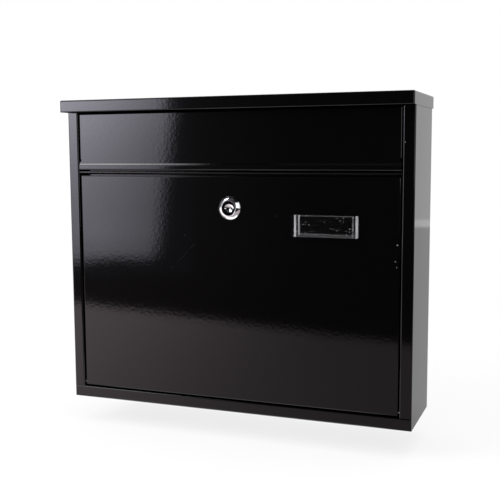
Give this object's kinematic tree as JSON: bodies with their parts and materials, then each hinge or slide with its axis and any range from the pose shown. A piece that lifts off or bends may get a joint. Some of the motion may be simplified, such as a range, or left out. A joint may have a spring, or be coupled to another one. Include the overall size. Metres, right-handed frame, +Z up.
{
  "type": "wall letter box",
  "caption": "Black sheet-steel wall letter box with a rain lid, a lift-up letter flap, a drop-down door with a cam lock and a clear name window.",
  "frame": {"origin": "centre of the four wall fixing holes, on the rear face of the case", "axes": "+X to the right seen from the front, +Y into the wall, +Z up; the door faces -Y"},
  "size_m": [0.36, 0.1, 0.31],
  "materials": {
    "black_paint": "gloss powder coat",
    "chrome": "polished",
    "zinc_steel": "zinc plated",
    "clear_plastic": "clear"
  },
  "bodies": {
    "case": {"case_shell": "black_paint", "base_pan": "black_paint", "roof_lid": "black_paint", "cross_rail": "black_paint", "flap_pin_left": "zinc_steel", "flap_pin_right": "zinc_steel", "door_pin_left": "zinc_steel", "door_pin_right": "zinc_steel"},
    "flap": {"letter_flap": "black_paint"},
    "door": {"door_panel": "black_paint", "name_window": "clear_plastic", "lock_housing": "chrome", "lock_washer": "zinc_steel", "lock_nut": "zinc_steel"},
    "lock": {"lock_plug": "chrome", "lock_cam": "zinc_steel", "cam_washer": "zinc_steel", "cam_screw": "zinc_steel"}
  },
  "joints": [
    {"name": "flap_lift", "type": "hinge", "parent": "case", "child": "flap", "pos_m": [0, -0.0808, 0.131], "axis": [-1, 0, 0], "range_deg": [0, 90]},
    {"name": "door_drop", "type": "hinge", "parent": "case", "child": "door", "pos_m": [0, -0.0822, -0.1438], "axis": [1, 0, 0], "range_deg": [0, 100]},
    {"name": "lock_turn", "type": "hinge", "parent": "door", "child": "lock", "pos_m": [0, -0.0858, 0.0433], "axis": [0, 1, 0], "range_deg": [0, 90]}
  ]
}
